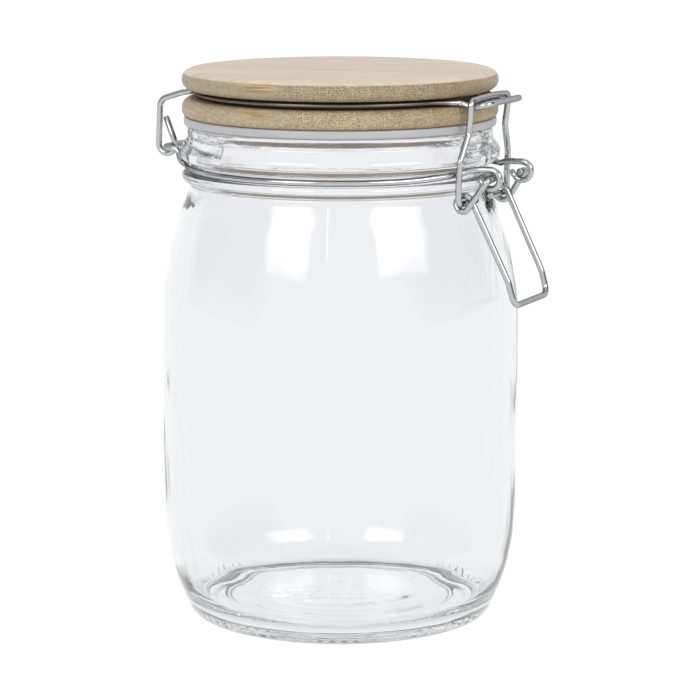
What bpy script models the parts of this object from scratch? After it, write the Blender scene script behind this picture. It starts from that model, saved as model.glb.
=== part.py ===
"""Clear glass storage jar with a turned wooden lid on a wire hinge and a wire lever latch."""
import math

import bpy
from mathutils import Vector

MM = 0.001

# Every piece is drawn about the jar's own axis, then moved so that the origin is under the middle of the bounds.
AXIS_X = -3.69

# Glass jar
RIM_Z = 151.7
RIM_R = 46.8
MOUTH_R = 43.8
BODY_R = 55.2
FOOT_R = 45.5
FOOT_INNER_R = 41.0
PUSH_UP = 4.2
FLOOR_Z = 7.6
TURN_STEPS = 48

# Neck groove that carries the neck wire
GROOVE_Z = 139.2
GROOVE_R = 45.6
RIM_ROUND = 1.4

# Lid and gasket
LID_R = 48.3
LID_TOP = 168.7
LID_SLOT_TOP = 162.7
LID_SLOT_LOW = 160.1
LID_SLOT_R = 41.8
LID_LOW = 154.5
PLUG_R = 40.5
PLUG_LOW = 148.6
GASKET_R = 47.8
GASKET_LOW = 152.0
GASKET_TOP = 154.2

# Wires
WIRE_R = 0.95
NECK_WIRE_R = 46.9
LID_WIRE_R = 43.7
LID_WIRE_Z = 161.4
HINGE_X, HINGE_Z = -53.4, 143.6
HINGE_ARM_Y = 15.2
HOOK_Y = 12.5
HOOK_BEND = 2.9
PIVOT_X, PIVOT_Z = 55.3, 138.9
EYE_Y = 12.1
EYE_R = 2.8
COIL_X, COIL_Z = 47.7, 131.6
COIL_R = 2.25
COIL_LEG_Y, COIL_ARM_Y = 13.6, 15.9
GRIP_X, GRIP_Z = 63.6, 101.8
GRIP_Y = 12.8
NOSE_X, NOSE_Z = 54.6, 161.2
NOSE_Y = 12.3
YOKE_X, YOKE_Z = 49.7, 161.9
YOKE_TOP_Y, YOKE_LOW_Y = 14.4, 18.4
YOKE_END_Y = 5.0


def clear_scene():
    for ob in list(bpy.data.objects):
        bpy.data.objects.remove(ob, do_unlink=True)


def material(name, colour, metallic=0.0, roughness=0.5, transmission=0.0):
    mat = bpy.data.materials.new(name)
    mat.use_nodes = True
    shader = mat.node_tree.nodes["Principled BSDF"]
    shader.inputs["Base Color"].default_value = (*colour, 1.0)
    shader.inputs["Metallic"].default_value = metallic
    shader.inputs["Roughness"].default_value = roughness
    shader.inputs["Transmission Weight"].default_value = transmission
    return mat


def adopt(ob, mat, group):
    group.objects.link(ob)
    ob.location.x = AXIS_X * MM
    ob.data.materials.append(mat)
    return ob


def arc(r, z, radius, start, end, count):
    """Points of an arc in the profile plane, angles in degrees from the outward direction."""
    out = []
    for n in range(count + 1):
        a = math.radians(start + (end - start) * n / count)
        out.append((r + radius * math.cos(a), z + radius * math.sin(a)))
    return out


def through(stations, parts):
    """A smooth curve through stations, with a number of parts between each pair."""
    pts = [Vector(p) for p in stations]
    pts = [pts[0] * 2 - pts[1]] + pts + [pts[-1] * 2 - pts[-2]]
    out = []
    for k in range(1, len(pts) - 2):
        before, a, b, after = pts[k - 1 : k + 3]
        for n in range(parts):
            t = n / parts
            rise = (b - before) * t + (before * 2 - a * 5 + b * 4 - after) * t * t
            rise += (a * 3 - before - b * 3 + after) * t**3
            out.append(tuple(a + rise * 0.5))
    return out + [tuple(pts[-2])]


def turned(name, profile, mat, group):
    """A solid of revolution from a profile that runs down its outer side, from top to bottom."""
    mesh = bpy.data.meshes.new(name)
    verts = [(r * MM, 0.0, z * MM) for r, z in profile]
    closed = profile[0][0] > 0.001 and profile[-1][0] > 0.001
    edges = [(n, n + 1) for n in range(len(verts) - 1)]
    if closed:
        edges.append((len(verts) - 1, 0))
    mesh.from_pydata(verts, edges, [])
    ob = adopt(bpy.data.objects.new(name, mesh), mat, group)
    screw = ob.modifiers.new("turn", "SCREW")
    screw.steps = TURN_STEPS
    screw.render_steps = TURN_STEPS
    screw.use_merge_vertices = True
    screw.merge_threshold = 0.00001
    screw.use_smooth_shade = True
    return ob


def softened(points, radii):
    """Rounds the corners of a path: radii holds one bend radius for each inner point."""
    pts = [Vector(p) for p in points]
    out = [pts[0]]
    for k in range(1, len(pts) - 1):
        back, ahead = pts[k - 1] - pts[k], pts[k + 1] - pts[k]
        turn = math.pi - back.angle(ahead)
        if radii[k - 1] <= 0.0 or turn < 0.02:
            out.append(pts[k])
            continue
        reach = min(radii[k - 1] * math.tan(turn / 2), 0.48 * back.length, 0.48 * ahead.length)
        a = pts[k] + back.normalized() * reach
        b = pts[k] + ahead.normalized() * reach
        count = max(2, math.ceil(math.degrees(turn) / 20))
        weight = math.cos(turn / 2)
        for n in range(count + 1):
            t = n / count
            wa, wk, wb = (1 - t) ** 2, 2 * t * (1 - t) * weight, t * t
            out.append((a * wa + pts[k] * wk + b * wb) / (wa + wk + wb))
    out.append(pts[-1])
    return out


def both_sides(half):
    """The whole path of a wire that is the same on both sides of the plane Y = 0."""
    other = [Vector((p.x, -p.y, p.z)) for p in reversed(half)]
    return other[:-1] + half if abs(half[0].y) < 1e-6 else other + half


def wire(name, path, mat, group):
    curve = bpy.data.curves.new(name, "CURVE")
    curve.dimensions = "3D"
    curve.bevel_depth = WIRE_R * MM
    curve.bevel_resolution = 2
    curve.use_fill_caps = True
    spline = curve.splines.new("POLY")
    spline.points.add(len(path) - 1)
    for p, at in zip(spline.points, path):
        p.co = (at.x * MM, at.y * MM, at.z * MM, 1.0)
    return adopt(bpy.data.objects.new(name, curve), mat, group)


def on_ring(radius, degrees, z):
    a = math.radians(degrees)
    return Vector((radius * math.cos(a), radius * math.sin(a), z))


def in_side_plane(x, z, radius, degrees, y):
    a = math.radians(degrees)
    return Vector((x + radius * math.cos(a), y, z + radius * math.sin(a)))


def jar_profile():
    # thread-free neck: plain rim, upper bead, wire groove, lower bead
    rim = arc(RIM_R - RIM_ROUND, RIM_Z - RIM_ROUND, RIM_ROUND, 90, 0, 3) + [(RIM_R, 148.4)]
    upper_bead = through([(47.6, 147.1), (49.1, 144.7), (48.7, 142.4)], 2) + [(48.0, 141.6)]
    groove = [(46.6, 141.25), (GROOVE_R + 0.2, 140.7), (GROOVE_R + 0.1, 138.5), (46.6, 137.85)]
    lower_bead = [(47.9, 137.8), (48.5, 137.1), (48.4, 136.0), (47.6, 135.15), (46.5, 134.8)]
    shoulder = [(46.2, 133.4), (47.4, 129.0), (49.4, 125.0), (52.0, 115.0), (53.6, 106.5), (54.8, 97.5)]
    side = [(BODY_R, 84.0), (BODY_R, 62.0), (55.1, 42.0), (54.7, 29.0), (53.7, 20.5), (51.9, 12.9)]
    heel = [(49.6, 6.8), (47.5, 2.0), (46.7, 0.6), (FOOT_R, 0.0)]
    under = [(FOOT_INNER_R, 0.0), (38.0, 0.3), (34.0, 1.7), (22.0, 3.2), (0.0, PUSH_UP)]
    outside = rim + upper_bead + groove + lower_bead + shoulder + side + heel + under
    floor = [(0.0, FLOOR_Z), (20.0, 6.6), (30.0, 4.5), (36.0, 3.6), (41.0, 3.7), (45.5, 6.4), (48.9, 12.0), (51.0, 20.0)]
    wall = [(52.1, 30.0), (52.2, 82.0), (51.6, 98.0), (49.8, 109.0), (47.2, 119.0), (44.9, 127.5)]
    neck = [(43.5, 134.0), (43.5, 142.0), (MOUTH_R, 150.4), (44.3, 151.4), (45.1, RIM_Z)]
    return outside + floor + wall + neck


def lid_profile():
    edge = 2.95
    upper = arc(LID_R - edge, LID_TOP - edge, edge, 90, 0, 4)
    upper += arc(LID_R - edge, LID_SLOT_TOP + edge, edge, 0, -90, 4)
    slot = [(LID_SLOT_R, LID_SLOT_TOP), (LID_SLOT_R, LID_SLOT_LOW)]
    low = arc(LID_R - 2.75, LID_SLOT_LOW - 2.75, 2.75, 90, 0, 4)
    low += arc(LID_R - 1.8, LID_LOW + 1.8, 1.8, 0, -90, 3)
    plug = [(PLUG_R, LID_LOW), (PLUG_R, PLUG_LOW + 0.6), (PLUG_R - 0.6, PLUG_LOW)]
    return [(0.0, LID_TOP)] + upper + slot + low + plug + [(0.0, PLUG_LOW)]


def gasket_profile():
    inner = PLUG_R + 0.35
    top = arc(GASKET_R - 0.6, GASKET_TOP - 0.6, 0.6, 90, 0, 2)
    low = arc(GASKET_R - 0.9, GASKET_LOW + 0.9, 0.9, 0, -90, 2)
    return top + low + [(inner, GASKET_LOW), (inner, GASKET_TOP)]


def neck_wire_path():
    """Hinge bar, arms that drop over the upper bead, the run in the groove, and the pivot eyes."""
    bar = [(HINGE_X, 0, HINGE_Z), (HINGE_X, HINGE_ARM_Y, HINGE_Z), on_ring(51.2, 162.6, HINGE_Z - 0.5)]
    half = softened(bar, [2.2])[:-1]
    half += [on_ring(51.2, 162.6, 143.1), on_ring(50.4, 162.1, 142.1), on_ring(50.1, 161.4, 141.1)]
    half += [on_ring(49.6, 160.4, 140.2), on_ring(48.9, 158.9, 139.6), on_ring(48.0, 156.7, 139.3)]
    turns = 18
    for n in range(turns + 1):
        half.append(on_ring(NECK_WIRE_R, 154.0 + (47.0 - 154.0) * n / turns, GROOVE_Z))
    rise = 5
    for n in range(1, rise + 1):
        t = n / rise
        half.append(on_ring(NECK_WIRE_R + 2.6 * t**1.7, 47.0 - 29.5 * t, GROOVE_Z + 1.4 * t**1.8))
    top = PIVOT_Z + EYE_R
    half += [Vector((49.2, 13.4, top - 0.4)), Vector((51.4, EYE_Y + 0.4, top - 0.1)), Vector((53.6, EYE_Y, top))]
    for n in range(12):
        half.append(in_side_plane(PIVOT_X, PIVOT_Z, EYE_R, 90 - 230 * n / 11, EYE_Y))
    half.append(Vector((51.6, EYE_Y, 138.9)))
    return both_sides(half)


def lid_wire_path():
    """Nose under the yoke, the run in the lid's slot, and the two hooks round the hinge bar."""
    nose = [(NOSE_X, 0, NOSE_Z), (NOSE_X, NOSE_Y, NOSE_Z - 0.1), (YOKE_X, NOSE_Y, YOKE_Z - 2.25)]
    nose += [(45.6, NOSE_Y + 0.1, 161.1), on_ring(LID_WIRE_R, 27.0, LID_WIRE_Z)]
    half = softened(nose, [2.4, 6.0, 2.4])
    turns = 20
    for n in range(1, turns + 1):
        half.append(on_ring(LID_WIRE_R, 27.0 + 131.0 * n / turns, LID_WIRE_Z))
    bend_x, bend_z = HINGE_X - 0.35, HINGE_Z + 0.6
    hook = [half.pop(), (-43.6, HOOK_Y + 0.4, LID_WIRE_Z - 0.1), (-48.7, HOOK_Y, 160.3)]
    hook += [(-56.0, HOOK_Y, 158.0), (bend_x - HOOK_BEND, HOOK_Y, bend_z)]
    half += softened(hook, [2.4, 8.0, 3.4])
    for n in range(1, 11):
        half.append(in_side_plane(bend_x, bend_z, HOOK_BEND, 180 + 201 * n / 10, HOOK_Y))
    half.append(Vector((-54.1, HOOK_Y, 152.8)))
    return both_sides(half)


def lever_path():
    """Grip, legs, one-turn coils that carry the yoke, and ends that turn in the neck wire's eyes."""
    knee = Vector((61.6, GRIP_Y + 0.2, 108.8))
    reach_x, reach_z = knee.x - COIL_X, knee.z - COIL_Z
    leaves = math.degrees(math.atan2(reach_z, reach_x) + math.acos(COIL_R / math.hypot(reach_x, reach_z)))
    arm_x, arm_z = PIVOT_X - COIL_X, PIVOT_Z - COIL_Z
    meets = 360 + math.degrees(math.atan2(arm_z, arm_x) - math.acos(COIL_R / math.hypot(arm_x, arm_z)))
    turns = 15
    coil = []
    for n in range(turns + 1):
        t = n / turns
        y = COIL_LEG_Y + (COIL_ARM_Y - COIL_LEG_Y) * t
        coil.append(in_side_plane(COIL_X, COIL_Z, COIL_R, leaves + (meets - leaves) * t, y))
    grip = [(GRIP_X, 0, GRIP_Z), (GRIP_X, GRIP_Y, GRIP_Z), knee, coil[0]]
    half = softened(grip, [3.0, 9.0])[:-1] + coil
    end_y = 9.7
    pin = [coil[-1], (PIVOT_X, COIL_ARM_Y - 1.3, PIVOT_Z), (PIVOT_X, end_y, PIVOT_Z)]
    return both_sides(half + softened(pin, [1.3])[1:])


def yoke_path():
    """Top bar over the nose, cranked legs, and ends that turn in the lever's coils."""
    half = [(YOKE_X, 0, YOKE_Z + 0.6), (YOKE_X, 7.5, YOKE_Z + 0.45), (YOKE_X, YOKE_TOP_Y, YOKE_Z)]
    half += [(48.8, 13.7, 152.4), (48.0, YOKE_LOW_Y - 0.2, 144.3), (COIL_X - 0.1, YOKE_LOW_Y, 137.0)]
    half += [(COIL_X, YOKE_LOW_Y, COIL_Z), (COIL_X, YOKE_END_Y, COIL_Z)]
    return both_sides(softened(half, [0.0, 2.0, 3.0, 3.0, 0.0, 1.8]))


def build():
    clear_scene()
    group = bpy.data.collections.new("clip_top_glass_jar")
    bpy.context.scene.collection.children.link(group)
    glass = material("clear_glass", (0.93, 0.95, 0.95), roughness=0.02, transmission=1.0)
    wood = material("bamboo", (0.62, 0.47, 0.31), roughness=0.55)
    silicone = material("silicone", (0.72, 0.73, 0.73), roughness=0.45)
    steel = material("steel_wire", (0.72, 0.72, 0.73), metallic=1.0, roughness=0.18)
    turned("glass_jar", jar_profile(), glass, group)
    turned("bamboo_lid", lid_profile(), wood, group)
    turned("gasket", gasket_profile(), silicone, group)
    wire("neck_wire", neck_wire_path(), steel, group)
    wire("lid_wire", lid_wire_path(), steel, group)
    wire("lever", lever_path(), steel, group)
    wire("yoke", yoke_path(), steel, group)


build()
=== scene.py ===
"""Dresses the clip-top glass jar: clear glass, turned bamboo lid, silicone seal and drawn steel wires."""
import math

import bpy
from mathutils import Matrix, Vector


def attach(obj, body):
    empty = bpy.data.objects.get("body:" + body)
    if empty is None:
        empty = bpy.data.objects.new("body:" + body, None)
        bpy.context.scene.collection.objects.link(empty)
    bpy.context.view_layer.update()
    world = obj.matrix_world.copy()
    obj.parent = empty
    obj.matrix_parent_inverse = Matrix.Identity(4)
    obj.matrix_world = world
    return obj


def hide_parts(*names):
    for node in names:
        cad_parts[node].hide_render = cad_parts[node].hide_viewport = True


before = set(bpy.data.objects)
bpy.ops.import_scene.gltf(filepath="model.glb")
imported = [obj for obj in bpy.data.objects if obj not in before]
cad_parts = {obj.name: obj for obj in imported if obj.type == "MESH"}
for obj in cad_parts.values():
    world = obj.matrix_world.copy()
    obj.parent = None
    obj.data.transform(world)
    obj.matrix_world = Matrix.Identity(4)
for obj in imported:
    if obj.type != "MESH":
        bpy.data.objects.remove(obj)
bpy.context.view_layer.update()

MM = 0.001

# The jar's own axis in the row frame, in mm
AXIS_X = -3.69

# Glass jar
RIM_Z = 151.7
RIM_R = 46.8
RIM_ROUND = 1.4
MOUTH_R = 43.8
BODY_R = 55.2
FOOT_R = 45.5
GROOVE_Z = 139.2
HEEL_TICKS = 82
HEEL_TICKS_LOW, HEEL_TICKS_TOP = 1.3, 3.3
# The plane of the mould seam is square to this direction, in degrees as for heading
SEAM_ROUND = 86.0
# Height of the glass's unevenness in mm: of its ripples in the wall, in the neck and everywhere, and of
# the swim, the seam and the ticks
WALL_RIPPLE, NECK_RIPPLE, LEAST_RIPPLE = 0.03, 0.24, 0.02
SWIM, SEAM_HIGH, TICK_HIGH = 0.75, 0.07, 0.14

# Lid and seal
LID_R = 48.3
LID_TOP, LID_LOW = 168.7, 154.5
SLOT_TOP, SLOT_LOW, SLOT_R = 162.7, 160.1, 41.8
PLUG_R, PLUG_LOW = 40.5, 148.6
SEAL_R, SEAL_LOW, SEAL_TOP = 47.8, 151.74, 154.46

# Wires; a cut end narrows to a share of the wire's radius over a short depth
WIRE_R = 0.95
CUT_DEPTH, CUT_SHARE = 0.22, 0.74
NECK_RING_R = 46.9
LID_BAND_R, LID_BAND_Z = 43.7, 161.4
HINGE_X, HINGE_Z, HINGE_ARM_Y = -53.4, 143.6, 15.2
HOOK_Y, HOOK_BEND = 12.5, 2.9
PIVOT_X, PIVOT_Z = 55.3, 138.9
EYE_Y, EYE_R = 12.1, 2.8
COIL_X, COIL_Z, COIL_R = 47.7, 131.6, 2.25
COIL_LEG_Y, COIL_ARM_Y = 13.6, 15.9
GRIP_X, GRIP_Z, GRIP_Y = 63.6, 101.8, 12.8
NOSE_X, NOSE_Z, NOSE_Y = 54.6, 161.2, 12.3
YOKE_X, YOKE_Z = 49.7, 161.9
YOKE_TOP_Y, YOKE_LOW_Y, YOKE_END_Y = 14.4, 18.4, 5.0

# Where the long runs in the lid's slot and in the groove start and end, in degrees round from the clip
BAND_FROM, BAND_TO = 27.0, 158.0
RING_FROM, RING_TO = 154.0, 47.0

# The camera looks this many degrees round from the front, and the light is set out from there
LOOK_ROUND = 26.0
LOOK_DOWN = 10.59
LENS = 143.81
# Where it stands, in m from the jar's axis and from the table
CAMERA_AWAY, CAMERA_UP = 0.85378, 0.24093
# What the light is aimed at, in m above the table
AIM_UP = 0.10

# The sweep behind the jar, in m: the curve from floor to wall, and half its width
SWEEP_R, SWEEP_HALF = 0.9, 3.0

# Steps round a turned piece
GLASS_STEPS, WOOD_STEPS = 160, 144

# Across the bamboo's core, from one side to the other: where each strip starts, and its tint
BAMBOO_STRIPS = [
    (0.0, (0.93, 0.95, 0.95)),
    (0.27, (1.0, 1.0, 0.97)),
    (0.47, (0.95, 0.93, 0.90)),
    (0.665, (0.90, 0.86, 0.80)),
    (0.85, (0.97, 0.96, 0.95)),
]


def heading(degrees):
    """A level direction: 0 points at the camera, 90 to the right of the picture."""
    a = math.radians(LOOK_ROUND + degrees)
    return Vector((math.sin(a), -math.cos(a), 0.0))


# ---------------------------------------------------------------- shader arithmetic


class Value:
    """A number that changes over a surface. Plain arithmetic on it adds the Math nodes."""

    def __init__(self, finish, socket):
        self.finish = finish
        self.socket = socket

    def maths(self, operation, *terms):
        """Adds a Math node on this value, or on the terms when they are given."""
        inputs = dict(enumerate(terms or (self,)))
        return self.finish.node("ShaderNodeMath", {"operation": operation}, inputs)

    def __add__(self, other):
        return self.maths("ADD", self, other)

    def __radd__(self, other):
        return self.maths("ADD", other, self)

    def __sub__(self, other):
        return self.maths("SUBTRACT", self, other)

    def __rsub__(self, other):
        return self.maths("SUBTRACT", other, self)

    def __mul__(self, other):
        return self.maths("MULTIPLY", self, other)

    def __truediv__(self, other):
        return self.maths("DIVIDE", self, other)

    def __abs__(self):
        return self.maths("ABSOLUTE", self)


class Finish:
    """A material, or the world, in the making."""

    def __init__(self, name, block=None):
        self.block = block or bpy.data.materials.new(name)
        self.block.use_nodes = True
        self.tree = self.block.node_tree
        self.tree.nodes.clear()

    def node(self, kind, settings=None, inputs=None, output=0):
        """Adds a node: first its settings, then the values or links of its sockets."""
        made = self.tree.nodes.new(kind)
        for name, value in (settings or {}).items():
            if name == "stops":
                self.set_stops(made.color_ramp, value)
            else:
                setattr(made, name, value)
        for name, value in (inputs or {}).items():
            if isinstance(value, Value):
                self.tree.links.new(value.socket, made.inputs[name])
            else:
                made.inputs[name].default_value = value
        return Value(self, made.outputs[output])

    def set_stops(self, ramp, stops):
        """Fills a colour ramp with bands that change at once."""
        ramp.interpolation = "CONSTANT"
        while len(ramp.elements) < len(stops):
            ramp.elements.new(1.0)
        for element, (at, colour) in zip(ramp.elements, stops):
            element.position = at
            element.color = (*colour, 1.0)

    def place(self):
        """The point on the piece in mm, measured from the jar's axis at table height."""
        at = self.node("ShaderNodeTexCoord", output="Object")
        moved = self.vector("SUBTRACT", at, (AXIS_X * MM, 0.0, 0.0))
        return self.node("ShaderNodeVectorMath", {"operation": "SCALE"}, {0: moved, "Scale": 1.0 / MM})

    def vector(self, operation, a, b):
        return self.node("ShaderNodeVectorMath", {"operation": operation}, {0: a, 1: b})

    def along(self, at, direction):
        """How far the point lies along a direction."""
        return self.node("ShaderNodeVectorMath", {"operation": "DOT_PRODUCT"}, {0: at, 1: direction}, "Value")

    def off_axis(self, at):
        """How far the point lies from the jar's axis."""
        level = self.vector("MULTIPLY", at, (1, 1, 0))
        return self.node("ShaderNodeVectorMath", {"operation": "LENGTH"}, {0: level}, "Value")

    def point(self, x, y, z):
        return self.node("ShaderNodeCombineXYZ", None, {0: x, 1: y, 2: z})

    def noise(self, at, scale, detail=2.0, roughness=0.5):
        inputs = {"Vector": at, "Scale": scale, "Detail": detail, "Roughness": roughness}
        return self.node("ShaderNodeTexNoise", None, inputs)

    def step(self, value, low, high):
        """0 below low and 1 above high, with a soft change between."""
        inputs = {"Value": value, "From Min": low, "From Max": high}
        return self.node("ShaderNodeMapRange", {"interpolation_type": "SMOOTHSTEP"}, inputs)

    def within(self, value, low, high, soft):
        return self.step(value, low - soft, low + soft) * (1 - self.step(value, high - soft, high + soft))

    def hump(self, value, centre, width):
        """1 at the centre, falling away smoothly on both sides."""
        return self.step(1 - abs((value - centre) / width), 0.0, 1.0)

    def mix(self, amount, a, b, blend="MIX"):
        """Colour a turning into colour b, or tinted by it."""
        a = a if isinstance(a, Value) else (*a, 1.0)
        b = b if isinstance(b, Value) else (*b, 1.0)
        settings = {"data_type": "RGBA", "blend_type": blend}
        return self.node("ShaderNodeMix", settings, {0: amount, 6: a, 7: b}, 2)

    def bump(self, height, distance, strength=1.0):
        inputs = {"Height": height, "Distance": distance, "Strength": strength}
        return self.node("ShaderNodeBump", None, inputs)

    def shaded(self, **sockets):
        """Closes the material with a Principled shader."""
        names = {name.replace("_", " "): value for name, value in sockets.items()}
        shader = self.node("ShaderNodeBsdfPrincipled", None, names)
        self.node_out("ShaderNodeOutputMaterial", shader)
        return self.block

    def node_out(self, kind, shader):
        out = self.tree.nodes.new(kind)
        self.tree.links.new(shader.socket, out.inputs["Surface"])


# ---------------------------------------------------------------- finishes


def jar_glass(name, outside):
    """Clear glass blown in a mould, with a faint swim; outside also the seam and the ticks round the heel."""
    f = Finish(name)
    at = f.place()
    x, y, z = f.along(at, (1, 0, 0)), f.along(at, (0, 1, 0)), f.along(at, (0, 0, 1))
    swim = f.noise(f.vector("MULTIPLY", at, (1.0, 1.0, 0.55)), 0.035, 1.5)
    ripple = f.noise(f.vector("MULTIPLY", at, (1.0, 1.0, 0.25)), 0.16, 1.0)
    neck = f.step(z, 132.0, 142.0)
    wall = f.step(z, 4.0, 16.0)
    height = swim * SWIM + ripple * (wall * WALL_RIPPLE + neck * NECK_RIPPLE + LEAST_RIPPLE)
    if outside:
        seam = f.along(at, tuple(heading(SEAM_ROUND)))
        seam_line = f.hump(seam, 0.0, 0.55) * f.step(z, 3.0, 6.0)
        turn = f.node("ShaderNodeMath", {"operation": "ARCTAN2"}, {0: y, 1: x})
        ticks = f.step((turn * HEEL_TICKS).maths("SINE"), -0.2, 0.8)
        outer = f.step(x * x + y * y, 43.5**2, FOOT_R**2)
        tick_marks = ticks * f.within(z, HEEL_TICKS_LOW, HEEL_TICKS_TOP, 0.35) * outer
        height = height + seam_line * SEAM_HIGH + tick_marks * TICK_HIGH
    # the tone sits in the outer surface, so the thick edges are not paler than the wall
    colour = (1.0, 1.0, 1.0, 1.0)
    if outside:
        colour = f.mix(f.noise(at, 0.02, 1.0), (0.795, 0.807, 0.836), (0.832, 0.843, 0.868))
        # painted shade: the resting ring under the foot is tinted dark where the glass meets the floor
        foot_contact_shade = (1 - f.step(z, 0.5, 1.9)) * outer
        colour = f.mix(foot_contact_shade * 0.5, colour, (0.30, 0.305, 0.31))
    return f.shaded(
        Base_Color=colour,
        Roughness=0.025 if outside else 0.0,
        IOR=1.5,
        Transmission_Weight=1.0,
        Normal=f.bump(height, MM),
    )


def lid_bamboo():
    """Cross-laid bamboo: a streaked face layer, and a core with cut fibre bundles on the turned edge."""
    f = Finish("lid_bamboo")
    at = f.place()
    z = f.along(at, (0, 0, 1))
    radius = f.off_axis(at)

    # core: bundles run towards the picture's front, a little to the right, and are cut across there only
    across, run = f.along(at, tuple(heading(104.0))), f.along(at, tuple(heading(14.0)))
    sway = f.noise(f.point(across * 0.25, run * 0.02, z * 0.25), 1.0, 2.0)
    cut = f.point(across + sway * 1.4, z + sway * 1.1 + run * 0.01, 0.0)
    ring = {"Vector": cut, "Scale": 1.4, "Randomness": 0.55}
    bundle = f.node("ShaderNodeTexVoronoi", {"voronoi_dimensions": "2D"}, ring, "Distance")
    strips = f.node("ShaderNodeValToRGB", {"stops": BAMBOO_STRIPS}, {"Fac": across / 100.0 + 0.5})
    dense = f.step(z - LID_TOP, -5.8, -1.0) * 0.08 + 0.30
    dots = 1 - f.step(bundle, dense - 0.18, dense + 0.15)
    end_grain = f.step(abs(run) / radius, 0.70, 0.92)
    patchy = f.noise(f.point(across * 0.22, run * 0.02, z * 0.3), 1.0, 2.0)
    dots = dots * end_grain * (0.6 + f.step(patchy, 0.35, 0.65) * 0.4)
    fleck = f.noise(f.point(across * 1.1, run * 0.03, z * 1.3), 1.0, 3.0, 0.6)
    ground = f.mix(f.step(fleck, 0.25, 0.75), (0.335, 0.25, 0.148), (0.505, 0.405, 0.268))
    # painted shade: the upper disc, above the slot, is darker than the lower one
    ground = f.mix(f.step(z, SLOT_LOW, SLOT_TOP) * 0.30, ground, (0.26, 0.21, 0.16))
    ground = f.mix(1.0, ground, strips, "MULTIPLY")
    core = f.mix(dots * 0.82, ground, (0.14, 0.085, 0.045))

    # the knuckle of one strip, on both discs, left of the front
    knuckle = f.hump(across, -33.5, 6.0) * f.step(run, 0.0, 20.0)
    knuckle = knuckle * (f.hump(z, LID_TOP - 2.4, 2.6) + f.hump(z, SLOT_LOW - 1.4, 2.0))
    combed = f.noise(f.point(across * 0.10, 0.0, z * 1.5 + sway * 0.6), 1.0, 2.0, 0.6)
    combed = f.step(combed, 0.42, 0.60)
    bright = f.mix(combed, (0.26, 0.15, 0.06), (0.62, 0.46, 0.22))
    core = f.mix(knuckle * 0.8, core, bright)

    # face layer: streaks run nearly across the picture
    side, streak = f.along(at, tuple(heading(-8.0))), f.along(at, tuple(heading(82.0)))
    drift = f.noise(f.point(side * 0.06, streak * 0.012, 3.0), 1.0, 2.0)
    fine = f.noise(f.point(side * 1.7 + drift * 2.0, streak * 0.035, 0.0), 1.0, 4.0, 0.6)
    broad = f.noise(f.point(side * 0.16 + drift * 0.8, streak * 0.010, 7.0), 1.0, 2.0)
    face = f.mix(f.step(fine, 0.30, 0.72), (0.52, 0.415, 0.308), (0.67, 0.575, 0.458))
    face = f.mix(f.step(broad, 0.42, 0.66) * 0.45, face, (0.73, 0.64, 0.525))
    glue = f.hump(side + drift * 1.5, -19.6, 0.45) + f.hump(side + drift * 1.5, 3.8, 0.35) * 0.8
    face = f.mix(glue * 0.45, face, (0.42, 0.27, 0.17))
    node_line = f.hump(side + drift * 2.0, 6.3, 2.0) * f.hump(streak, -1.5, 9.0)
    face = f.mix(node_line * 0.7, face, (0.45, 0.33, 0.15))
    layer = f.step(z + sway * 0.25, LID_TOP - 1.15, LID_TOP - 0.85)
    layer = layer + (1 - f.step(z, PLUG_LOW + 0.9, PLUG_LOW + 1.2))
    colour = f.mix(layer, core, face)

    # painted shade: the slot's recess is darkened nearly to black
    slot = f.within(z, SLOT_LOW, SLOT_TOP, 0.12) * (1 - f.step(radius, LID_R - 3.2, LID_R - 1.4))
    colour = f.mix(slot * 0.9, colour, (0.045, 0.028, 0.018))
    # painted shade: the low edge, where the lid sits on the seal, is darkened a little
    low = 1 - f.step(z, LID_LOW, LID_LOW + 1.3)
    colour = f.mix(low * 0.35, colour, (0.33, 0.18, 0.10))
    grain = dots + (fine - dots) * layer
    return f.shaded(
        Base_Color=colour,
        Roughness=0.5 + fleck * 0.16,
        Normal=f.bump(grain * -1.0, 0.05 * MM),
        IOR=1.46,
    )


def seal_silicone():
    """Milky silicone: slightly clouded, with a satin skin."""
    f = Finish("seal_silicone")
    at = f.place()
    cloud = f.noise(at, 0.12, 3.0)
    colour = f.mix(cloud, (0.38, 0.385, 0.395), (0.45, 0.455, 0.465))
    # painted shade along the seal's low edge, where it sits on the glass rim
    lip = 1 - f.step(f.along(at, (0, 0, 1)), SEAL_LOW + 0.1, SEAL_LOW + 1.0)
    colour = f.mix(lip * 0.5, colour, (0.20, 0.20, 0.205))
    dust = f.noise(at, 2.2, 2.0)
    return f.shaded(
        Base_Color=colour,
        Roughness=0.36 + dust * 0.18,
        Subsurface_Weight=0.35,
        Subsurface_Radius=(1.0, 1.0, 1.0),
        Subsurface_Scale=1.5 * MM,
        Normal=f.bump(dust, 0.02 * MM),
    )


def drawn_wire():
    """Bright drawn steel: polished, with small rubs, and darkened by painted shade where it lies in the lid's
    slot.
    """
    f = Finish("drawn_wire")
    at = f.place()
    z = f.along(at, (0, 0, 1))
    radius = f.off_axis(at)
    rub = f.noise(at, 0.35, 3.0, 0.6)
    speck = f.noise(at, 5.0, 2.0)
    colour = f.mix(rub, (0.41, 0.415, 0.425), (0.59, 0.595, 0.605))
    # painted shade: the wire is darkened, and made rougher, where it lies in the lid's slot
    slot_shade_mask = f.within(z, SLOT_LOW, SLOT_TOP, 0.1) * (1 - f.step(radius, LID_R - 2.6, LID_R - 0.6))
    colour = f.mix(slot_shade_mask * 0.85, colour, (0.12, 0.10, 0.085))
    return f.shaded(
        Base_Color=colour,
        Metallic=1.0,
        Specular_Tint=(0.33, 0.33, 0.34, 1.0),
        Roughness=0.05 + rub * 0.09 + slot_shade_mask * 0.20,
        Normal=f.bump(speck, 0.006 * MM),
    )


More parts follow.
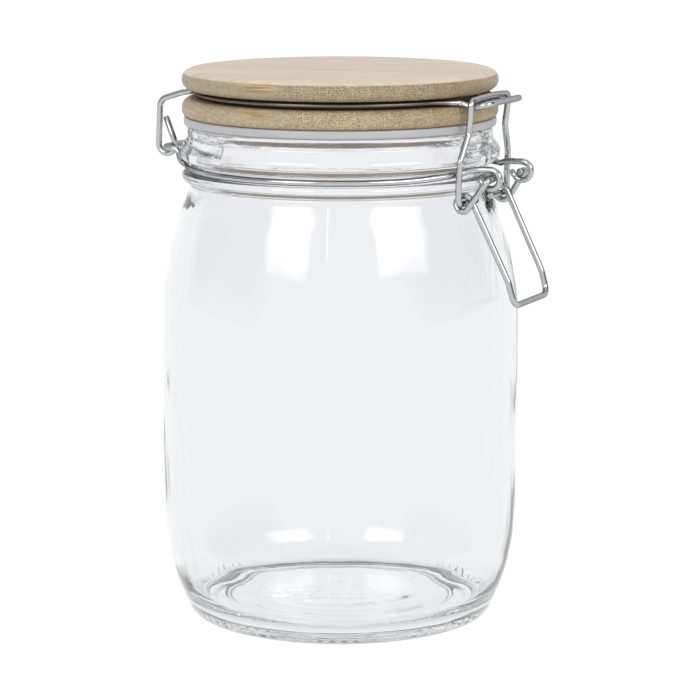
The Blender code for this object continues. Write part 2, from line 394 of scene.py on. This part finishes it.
def studio_white():
    """The lit sweep behind and under the jar."""
    f = Finish("studio_white")
    at = f.place()
    paper = f.noise(at, 0.01, 2.0)
    colour = f.mix(paper, (0.10, 0.10, 0.10), (0.12, 0.12, 0.12))
    return f.shaded(
        Base_Color=colour,
        Roughness=0.9,
        Specular_IOR_Level=0.0,
        Emission_Color=(1.0, 1.0, 1.0, 1.0),
        Emission_Strength=0.95,
    )


# ---------------------------------------------------------------- making


def settle(ob, body, node, finishes):
    """Puts a piece in the room, gives it its finish and lets it stand for its CAD node."""
    bpy.context.scene.collection.objects.link(ob)
    for finish in finishes:
        ob.data.materials.append(finish)
    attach(ob, body)
    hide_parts(node)


def arc(r, z, radius, start, end, count):
    """Points of an arc in the profile plane, angles in degrees from the outward direction."""
    angles = [math.radians(start + (end - start) * n / count) for n in range(count + 1)]
    return [(r + radius * math.cos(a), z + radius * math.sin(a)) for a in angles]


def through(stations, parts):
    """A smooth curve through stations, with a number of parts between each pair."""
    pts = [Vector(p) for p in stations]
    pts = [pts[0] * 2 - pts[1]] + pts + [pts[-1] * 2 - pts[-2]]
    out = []
    for k in range(1, len(pts) - 2):
        before, a, b, after = pts[k - 1 : k + 3]
        for n in range(parts):
            t = n / parts
            rise = (b - before) * t + (before * 2 - a * 5 + b * 4 - after) * t * t
            rise += (a * 3 - before - b * 3 + after) * t**3
            out.append(tuple(a + rise * 0.5))
    return out + [tuple(pts[-2])]


def spun(name, profile, steps, finish_of=None):
    """A smooth solid of revolution about the jar's axis; profile runs once round the section."""
    rings = []
    verts = []
    for r, z in profile:
        first = len(verts)
        if r < 1e-6:
            verts.append((AXIS_X * MM, 0.0, z * MM))
            rings.append([first] * steps)
            continue
        for n in range(steps):
            a = 2 * math.pi * n / steps
            verts.append(((AXIS_X + r * math.cos(a)) * MM, r * math.sin(a) * MM, z * MM))
        rings.append(list(range(first, first + steps)))
    faces = []
    kinds = []
    for k in range(len(rings)):
        upper, lower = rings[k], rings[(k + 1) % len(rings)]
        if upper[0] == upper[1] and lower[0] == lower[1]:
            continue
        for n in range(steps):
            m = (n + 1) % steps
            corners = [upper[n], lower[n], lower[m], upper[m]]
            faces.append(list(dict.fromkeys(corners)))
            kinds.append(finish_of(k) if finish_of else 0)
    mesh = bpy.data.meshes.new(name)
    mesh.from_pydata(verts, [], faces)
    mesh.polygons.foreach_set("material_index", kinds)
    mesh.polygons.foreach_set("use_smooth", [True] * len(faces))
    mesh.update()
    return bpy.data.objects.new(name, mesh)


def softened(points, radii):
    """Rounds the corners of a path: radii holds one bend radius for each inner point."""
    pts = [Vector(p) for p in points]
    out = [pts[0]]
    for k in range(1, len(pts) - 1):
        back, ahead = pts[k - 1] - pts[k], pts[k + 1] - pts[k]
        turn = math.pi - back.angle(ahead)
        if radii[k - 1] <= 0.0 or turn < 0.02:
            out.append(pts[k])
            continue
        reach = min(radii[k - 1] * math.tan(turn / 2), 0.48 * back.length, 0.48 * ahead.length)
        a = pts[k] + back.normalized() * reach
        b = pts[k] + ahead.normalized() * reach
        count = max(4, math.ceil(math.degrees(turn) / 6))
        weight = math.cos(turn / 2)
        for n in range(count + 1):
            t = n / count
            wa, wk, wb = (1 - t) ** 2, 2 * t * (1 - t) * weight, t * t
            out.append((a * wa + pts[k] * wk + b * wb) / (wa + wk + wb))
    out.append(pts[-1])
    return out


def both_sides(half):
    """The whole path of a wire that is the same on both sides of the plane Y = 0."""
    other = [Vector((p.x, -p.y, p.z)) for p in reversed(half)]
    return other[:-1] + half if abs(half[0].y) < 1e-6 else other + half


def bent_wire(name, path):
    """Round wire along a path, with its cut ends slightly dulled."""
    curve = bpy.data.curves.new(name, "CURVE")
    curve.dimensions = "3D"
    curve.bevel_depth = WIRE_R * MM
    curve.bevel_resolution = 6
    curve.use_fill_caps = True
    near = path[0] + (path[1] - path[0]).normalized() * CUT_DEPTH
    far = path[-1] + (path[-2] - path[-1]).normalized() * CUT_DEPTH
    path = [path[0], near] + path[1:-1] + [far, path[-1]]
    spline = curve.splines.new("POLY")
    spline.points.add(len(path) - 1)
    for p, at in zip(spline.points, path):
        p.co = ((AXIS_X + at.x) * MM, at.y * MM, at.z * MM, 1.0)
    spline.points[0].radius = CUT_SHARE
    spline.points[-1].radius = CUT_SHARE
    spline.use_smooth = True
    return bpy.data.objects.new(name, curve)


def on_ring(radius, degrees, z):
    a = math.radians(degrees)
    return Vector((radius * math.cos(a), radius * math.sin(a), z))


def in_side_plane(x, z, radius, degrees, y):
    a = math.radians(degrees)
    return Vector((x + radius * math.cos(a), y, z + radius * math.sin(a)))


# ---------------------------------------------------------------- the pieces


def make_jar():
    """Blown body with a beaded neck, a groove for the wire, a rounded heel and a pushed-up base."""
    rim = arc(RIM_R - RIM_ROUND, RIM_Z - RIM_ROUND, RIM_ROUND, 90, 0, 7)
    bead = [(RIM_R, 148.9), (46.9, 148.2), (47.6, 147.1), (48.95, 144.9), (49.05, 143.5), (48.85, 142.3)]
    bead += [(48.1, 141.5), (46.6, 141.25)]
    groove = [(45.85, 140.75), (45.7, 139.2), (45.9, 138.3), (46.6, 137.88), (47.9, 137.78)]
    lower_bead = [(48.5, 137.0), (48.5, 135.9), (47.9, 135.1), (46.7, 134.8)]
    shoulder = [(46.25, 133.8), (46.3, 132.9), (46.65, 131.4), (47.4, 129.2), (49.2, 124.6)]
    shoulder += [(51.85, 115.0), (53.6, 106.5), (54.8, 97.5)]
    side = [(BODY_R, 84.0), (BODY_R, 62.0), (55.1, 42.0), (54.7, 29.0), (53.7, 20.5), (51.9, 12.9)]
    heel = [(49.6, 6.8), (47.5, 2.0), (46.7, 0.6), (FOOT_R, 0.04)]
    under = [(43.0, 0.04), (41.0, 0.06), (38.0, 0.3), (35.6, 0.7), (33.8, 1.7), (28.0, 2.3), (24.0, 3.3)]
    under += [(18.0, 3.8), (10.0, 4.1), (0.0, 4.2)]
    outside = rim[:-1] + through([rim[-1]] + bead + groove + lower_bead + shoulder + side + heel + under, 5)
    floor = [(0.0, 7.6), (10.0, 7.4), (20.0, 6.5), (26.0, 5.4), (31.0, 4.3), (36.0, 3.65), (41.0, 3.7)]
    floor += [(44.5, 5.3), (47.4, 8.9), (49.5, 13.6), (51.0, 20.0)]
    wall = [(52.1, 30.0), (52.25, 56.0), (52.2, 82.0), (51.6, 98.0), (49.8, 109.0), (47.2, 119.0)]
    wall.append((44.9, 127.5))
    neck = [(43.5, 134.0), (43.5, 142.0), (MOUTH_R, 150.4), (44.3, 151.4), (45.1, RIM_Z)]
    inside = through(floor + wall + neck, 5)
    border = len(outside)
    jar = spun("jar_body", outside + inside, GLASS_STEPS, lambda ring: 0 if ring < border else 1)
    glass = [jar_glass("outer_glass", True), jar_glass("inner_glass", False)]
    settle(jar, "jar", "glass_jar", glass)


def make_lid():
    """Turned disc with two rounded rims, a saw-cut slot between them and a plug that enters the mouth."""
    edge, low_edge, foot_edge, nick = 2.95, 2.75, 1.8, 0.3
    upper = arc(LID_R - edge, LID_TOP - edge, edge, 90, 0, 10)
    upper += arc(LID_R - edge, SLOT_TOP + edge, edge, 0, -82, 10)
    upper.append((LID_R - edge - 0.5, SLOT_TOP))
    slot = [(SLOT_R + nick, SLOT_TOP), (SLOT_R, SLOT_TOP - nick)]
    slot += [(SLOT_R, SLOT_LOW + nick), (SLOT_R + nick, SLOT_LOW)]
    low = [(LID_R - 3.2, SLOT_LOW)] + arc(LID_R - low_edge, SLOT_LOW - low_edge, low_edge, 82, 0, 8)
    low += arc(LID_R - foot_edge, LID_LOW + foot_edge, foot_edge, -4, -88, 7)
    plug_edge = 0.6
    plug = [(PLUG_R + nick, LID_LOW), (PLUG_R, LID_LOW - nick), (PLUG_R, PLUG_LOW + plug_edge)]
    plug += arc(PLUG_R - plug_edge, PLUG_LOW + plug_edge, plug_edge, 0, -90, 4)[1:]
    face = [(0.0, LID_TOP), (20.0, LID_TOP), (40.0, LID_TOP)]
    under = [(39.0, PLUG_LOW), (20.0, PLUG_LOW), (0.0, PLUG_LOW)]
    lid = spun("lid_wood", face + upper + slot + low + plug + under, WOOD_STEPS)
    settle(lid, "lid", "bamboo_lid", [lid_bamboo()])


def make_seal():
    """Flat silicone ring under the lid's edge, with a rounded lip."""
    inner, corner, top_edge, lip = PLUG_R + 0.35, 0.2, 0.6, 0.9
    section = arc(SEAL_R - top_edge, SEAL_TOP - top_edge, top_edge, 90, 0, 5)
    section += arc(SEAL_R - lip, SEAL_LOW + lip, lip, 0, -90, 6)
    section += [(inner + corner, SEAL_LOW), (inner, SEAL_LOW + corner)]
    section += [(inner, SEAL_TOP - corner), (inner + corner, SEAL_TOP)]
    seal = spun("lid_seal", section, WOOD_STEPS)
    settle(seal, "lid", "gasket", [seal_silicone()])


def make_neck_ring(finish):
    """Hinge bar, arms that drop over the upper bead, the run in the groove, and the pivot eyes."""
    bar = [(HINGE_X, 0, HINGE_Z), (HINGE_X, HINGE_ARM_Y, HINGE_Z), on_ring(51.2, 162.6, HINGE_Z - 0.5)]
    drop = [on_ring(51.2, 162.6, 143.1), on_ring(50.4, 162.1, 142.1), on_ring(50.1, 161.4, 141.1)]
    drop += [on_ring(49.6, 160.4, 140.2), on_ring(48.9, 158.9, 139.6), on_ring(48.0, 156.7, 139.3)]
    half = softened(bar, [2.2])[:-1]
    half += [Vector(p) for p in through(drop + [on_ring(NECK_RING_R, RING_FROM, GROOVE_Z)], 3)[:-1]]
    turns = 54
    for n in range(turns + 1):
        half.append(on_ring(NECK_RING_R, RING_FROM + (RING_TO - RING_FROM) * n / turns, GROOVE_Z))
    rise = 14
    for n in range(1, rise + 1):
        t = n / rise
        half.append(on_ring(NECK_RING_R + 2.6 * t**1.7, RING_TO - 29.5 * t, GROOVE_Z + 1.4 * t**1.8))
    top = PIVOT_Z + EYE_R
    lift = [half[-1], (49.2, 13.4, top - 0.4), (51.4, EYE_Y + 0.4, top - 0.1), (53.6, EYE_Y, top)]
    half += [Vector(p) for p in through(lift, 3)[1:]]
    for n in range(36):
        half.append(in_side_plane(PIVOT_X, PIVOT_Z, EYE_R, 90 - 230 * n / 35, EYE_Y))
    half.append(Vector((51.6, EYE_Y, 138.9)))
    settle(bent_wire("neck_ring", both_sides(half)), "jar", "neck_wire", [finish])


def make_lid_band(finish):
    """Nose under the yoke, the run in the lid's slot, and the two hooks round the hinge bar."""
    nose = [(NOSE_X, 0, NOSE_Z), (NOSE_X, NOSE_Y, NOSE_Z - 0.1), (YOKE_X, NOSE_Y, YOKE_Z - 2.25)]
    nose += [(45.6, NOSE_Y + 0.1, 161.1), on_ring(LID_BAND_R, BAND_FROM, LID_BAND_Z)]
    half = softened(nose, [2.4, 6.0, 2.4])
    turns = 60
    for n in range(1, turns + 1):
        half.append(on_ring(LID_BAND_R, BAND_FROM + (BAND_TO - BAND_FROM) * n / turns, LID_BAND_Z))
    bend_x, bend_z = HINGE_X - 0.35, HINGE_Z + 0.6
    hook = [half.pop(), (-43.6, HOOK_Y + 0.4, LID_BAND_Z - 0.1), (-48.7, HOOK_Y, 160.3)]
    hook += [(-56.0, HOOK_Y, 158.0), (bend_x - HOOK_BEND, HOOK_Y, bend_z)]
    half += softened(hook, [2.4, 8.0, 3.4])
    for n in range(1, 31):
        half.append(in_side_plane(bend_x, bend_z, HOOK_BEND, 180 + 201 * n / 30, HOOK_Y))
    half.append(Vector((-54.1, HOOK_Y, 152.8)))
    settle(bent_wire("lid_band", both_sides(half)), "lid", "lid_wire", [finish])


def make_latch_lever(finish):
    """Grip, legs, one-turn coils that carry the yoke, and ends that turn in the neck ring's eyes."""
    knee = Vector((61.6, GRIP_Y + 0.2, 108.8))
    reach_x, reach_z = knee.x - COIL_X, knee.z - COIL_Z
    leaves = math.degrees(math.atan2(reach_z, reach_x) + math.acos(COIL_R / math.hypot(reach_x, reach_z)))
    arm_x, arm_z = PIVOT_X - COIL_X, PIVOT_Z - COIL_Z
    meets = 360 + math.degrees(math.atan2(arm_z, arm_x) - math.acos(COIL_R / math.hypot(arm_x, arm_z)))
    turns = 48
    coil = []
    for n in range(turns + 1):
        t = n / turns
        y = COIL_LEG_Y + (COIL_ARM_Y - COIL_LEG_Y) * t
        coil.append(in_side_plane(COIL_X, COIL_Z, COIL_R, leaves + (meets - leaves) * t, y))
    grip = [(GRIP_X, 0, GRIP_Z), (GRIP_X, GRIP_Y, GRIP_Z), knee, coil[0]]
    half = softened(grip, [3.0, 9.0])[:-1] + coil
    pin = [coil[-1], (PIVOT_X, COIL_ARM_Y - 1.3, PIVOT_Z), (PIVOT_X, 9.7, PIVOT_Z)]
    half += softened(pin, [1.3])[1:]
    settle(bent_wire("latch_lever", both_sides(half)), "lever", "lever", [finish])


def make_latch_yoke(finish):
    """Top bar over the nose, cranked legs, and ends that turn in the lever's coils."""
    half = [(YOKE_X, 0, YOKE_Z + 0.6), (YOKE_X, 7.5, YOKE_Z + 0.45), (YOKE_X, YOKE_TOP_Y, YOKE_Z)]
    half += [(48.8, 13.7, 152.4), (48.0, YOKE_LOW_Y - 0.2, 144.3), (COIL_X - 0.1, YOKE_LOW_Y, 137.0)]
    half += [(COIL_X, YOKE_LOW_Y, COIL_Z), (COIL_X, YOKE_END_Y, COIL_Z)]
    path = both_sides(softened(half, [0.0, 2.0, 3.0, 3.0, 0.0, 1.8]))
    settle(bent_wire("latch_yoke", path), "yoke", "yoke", [finish])


# ---------------------------------------------------------------- the room


def make_sweep():
    """Floor that curves up into a wall well behind the jar."""
    back = -heading(0.0)
    right = heading(90.0)
    line = [(-3.2, 0.0), (-1.0, 0.0), (1.0, 0.0)]
    for degrees in range(6, 91, 6):
        a = math.radians(degrees)
        line.append((1.0 + SWEEP_R * math.sin(a), SWEEP_R - SWEEP_R * math.cos(a)))
    line.append((1.0 + SWEEP_R, 2.8))
    verts = []
    for reach, up in line:
        for across in (-SWEEP_HALF, SWEEP_HALF):
            verts.append(back * reach + right * across + Vector((0, 0, up)))
    faces = [(2 * n, 2 * n + 1, 2 * n + 3, 2 * n + 2) for n in range(len(line) - 1)]
    mesh = bpy.data.meshes.new("sweep")
    mesh.from_pydata(verts, [], faces)
    mesh.polygons.foreach_set("use_smooth", [True] * len(faces))
    mesh.materials.append(studio_white())
    ob = bpy.data.objects.new("sweep", mesh)
    bpy.context.scene.collection.objects.link(ob)


def soft_light(name, degrees, rise, distance, width, height, radiance, cloth_at):
    """A soft box aimed at the jar's middle, dimmer towards its cloth's edges; cloth_at picks its folds."""
    lamp = bpy.data.lights.new(name, "AREA")
    lamp.shape = "RECTANGLE"
    lamp.size = width
    lamp.size_y = height
    lamp.energy = radiance * math.pi * width * height
    f = Finish(name, lamp)
    cloth = f.node("ShaderNodeNewGeometry", output="Parametric")
    u, v = f.along(cloth, (1, 0, 0)), f.along(cloth, (0, 1, 0))
    folds = f.noise(f.point(u * width, v * height, cloth_at), 3.5, 2.0)
    rim = 0.10 + folds * 0.20
    glow = f.step(u, 0.0, rim) * f.step(1 - u, 0.0, rim)
    glow = glow * f.step(v, 0.0, rim) * f.step(1 - v, 0.0, rim)
    shine = f.node("ShaderNodeEmission", None, {"Strength": glow * 1.25})
    f.node_out("ShaderNodeOutputLight", shine)
    ob = bpy.data.objects.new(name, lamp)
    up = math.radians(rise)
    out = heading(degrees) * math.cos(up) + Vector((0, 0, math.sin(up)))
    ob.location = Vector((AXIS_X * MM, 0, AIM_UP)) + out * distance
    ob.rotation_euler = out.to_track_quat("Z", "Y").to_euler()
    bpy.context.scene.collection.objects.link(ob)


def make_world():
    """White behind and in front, with a grey flag at each side that draws the edges of glass and wire."""
    world = bpy.data.worlds.new("room")
    bpy.context.scene.world = world
    f = Finish("room", world)
    at = f.node("ShaderNodeTexCoord", output="Generated")
    behind, up = f.along(at, tuple(-heading(0.0))), f.along(at, (0, 0, 1))
    white = f.step(behind, 0.35, 0.75)
    front = 1 - f.step(behind, -0.75, -0.45)
    right = f.along(at, tuple(heading(90.0)))
    flag = 0.42 - f.step(right, 0.0, 0.3) * 0.24
    level = flag + (1 - flag) * (white + front * 0.93)
    level = level + (1 - level) * (f.step(up, 0.45, 0.95) * 0.75 + (1 - f.step(up, 0.0, 0.22)) * 0.6)
    colour = f.mix(level, (0.0, 0.0, 0.0), (1.0, 1.0, 1.0))
    shine = f.node("ShaderNodeBackground", None, {"Color": colour, "Strength": 1.0})
    f.node_out("ShaderNodeOutputWorld", shine)


def make_camera():
    """Looks down a little at the jar, from right of its front."""
    data = bpy.data.cameras.new("camera")
    data.sensor_width = 36.0
    data.lens = LENS
    data.shift_x = 0.014
    data.clip_start = 0.01
    ob = bpy.data.objects.new("camera", data)
    ob.location = Vector((AXIS_X * MM, 0, CAMERA_UP)) + heading(0.0) * CAMERA_AWAY
    ob.rotation_euler = (math.radians(90.0 - LOOK_DOWN), 0.0, math.radians(LOOK_ROUND))
    bpy.context.scene.collection.objects.link(ob)
    bpy.context.scene.camera = ob


make_jar()
make_lid()
make_seal()
steel = drawn_wire()
make_neck_ring(steel)
make_lid_band(steel)
make_latch_lever(steel)
make_latch_yoke(steel)
make_sweep()
make_world()
soft_light("soft_box_left", -37.5, 29.5, 1.3, 0.78, 0.60, 3.8, 13)
soft_light("soft_box_right", 44.5, 29.5, 1.3, 0.98, 0.60, 3.7, 14)
make_camera()
bpy.context.scene.view_settings.view_transform = "Standard"

# Light is turned back many times inside the thick heel and the beads, and goes dark where it is cut short
paths = bpy.context.scene.cycles
paths.glossy_bounces = 16
paths.transmission_bounces = 24
paths.max_bounces = 32
